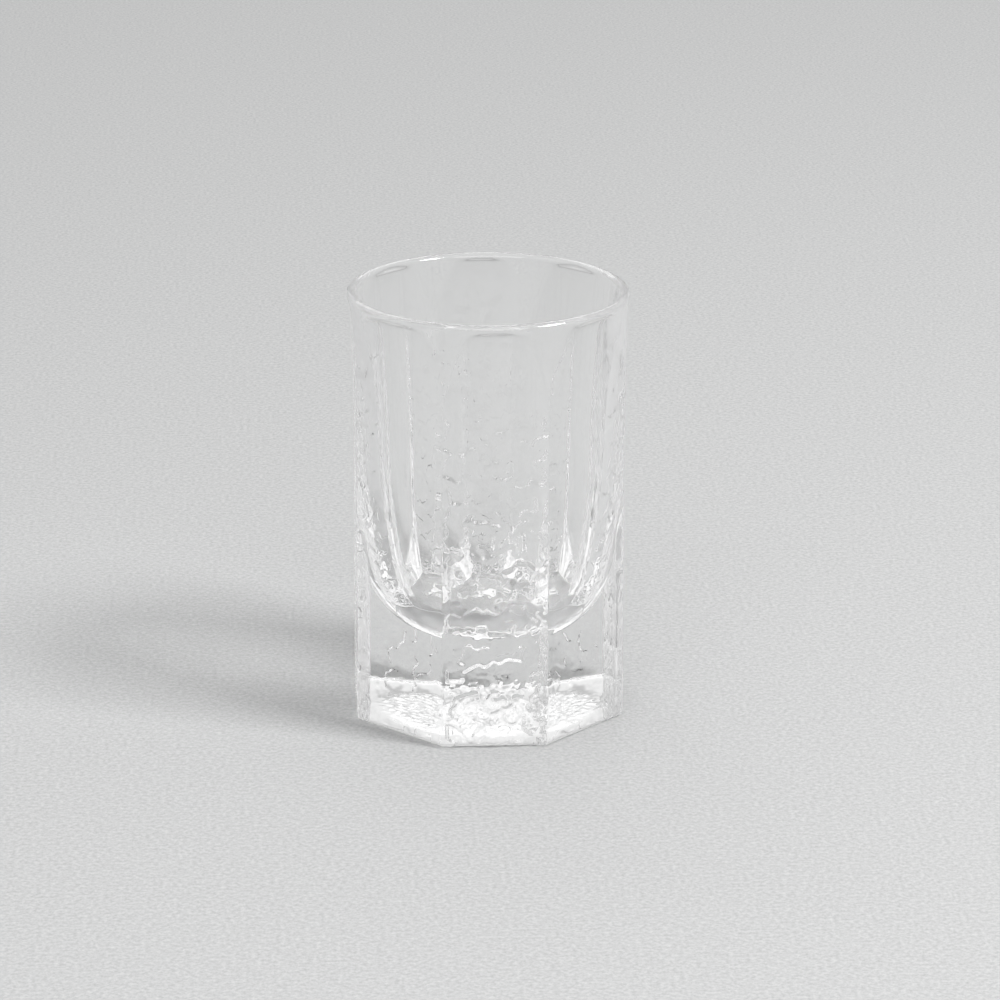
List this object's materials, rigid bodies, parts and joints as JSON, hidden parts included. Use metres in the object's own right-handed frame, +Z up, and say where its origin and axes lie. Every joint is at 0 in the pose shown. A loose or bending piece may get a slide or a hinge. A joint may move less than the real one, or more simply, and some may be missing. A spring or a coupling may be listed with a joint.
{
  "type": "shot glass",
  "caption": "Tall octagonal shot glass with a heavy solid foot, ice-textured and plain panels in turn, and a round tapering cup that holds a short drink.",
  "frame": {"origin": "centre of the face that the glass stands on", "axes": "+Z up along the axis of the cup; ice-textured panels face +X, +Y, -X and -Y, plain panels face the diagonals"},
  "size_m": [0.0452, 0.0452, 0.07],
  "materials": {
    "clear_glass": "pressed, fire-polished"
  },
  "bodies": {
    "root": {"glass_body": "clear_glass"}
  },
  "joints": []
}
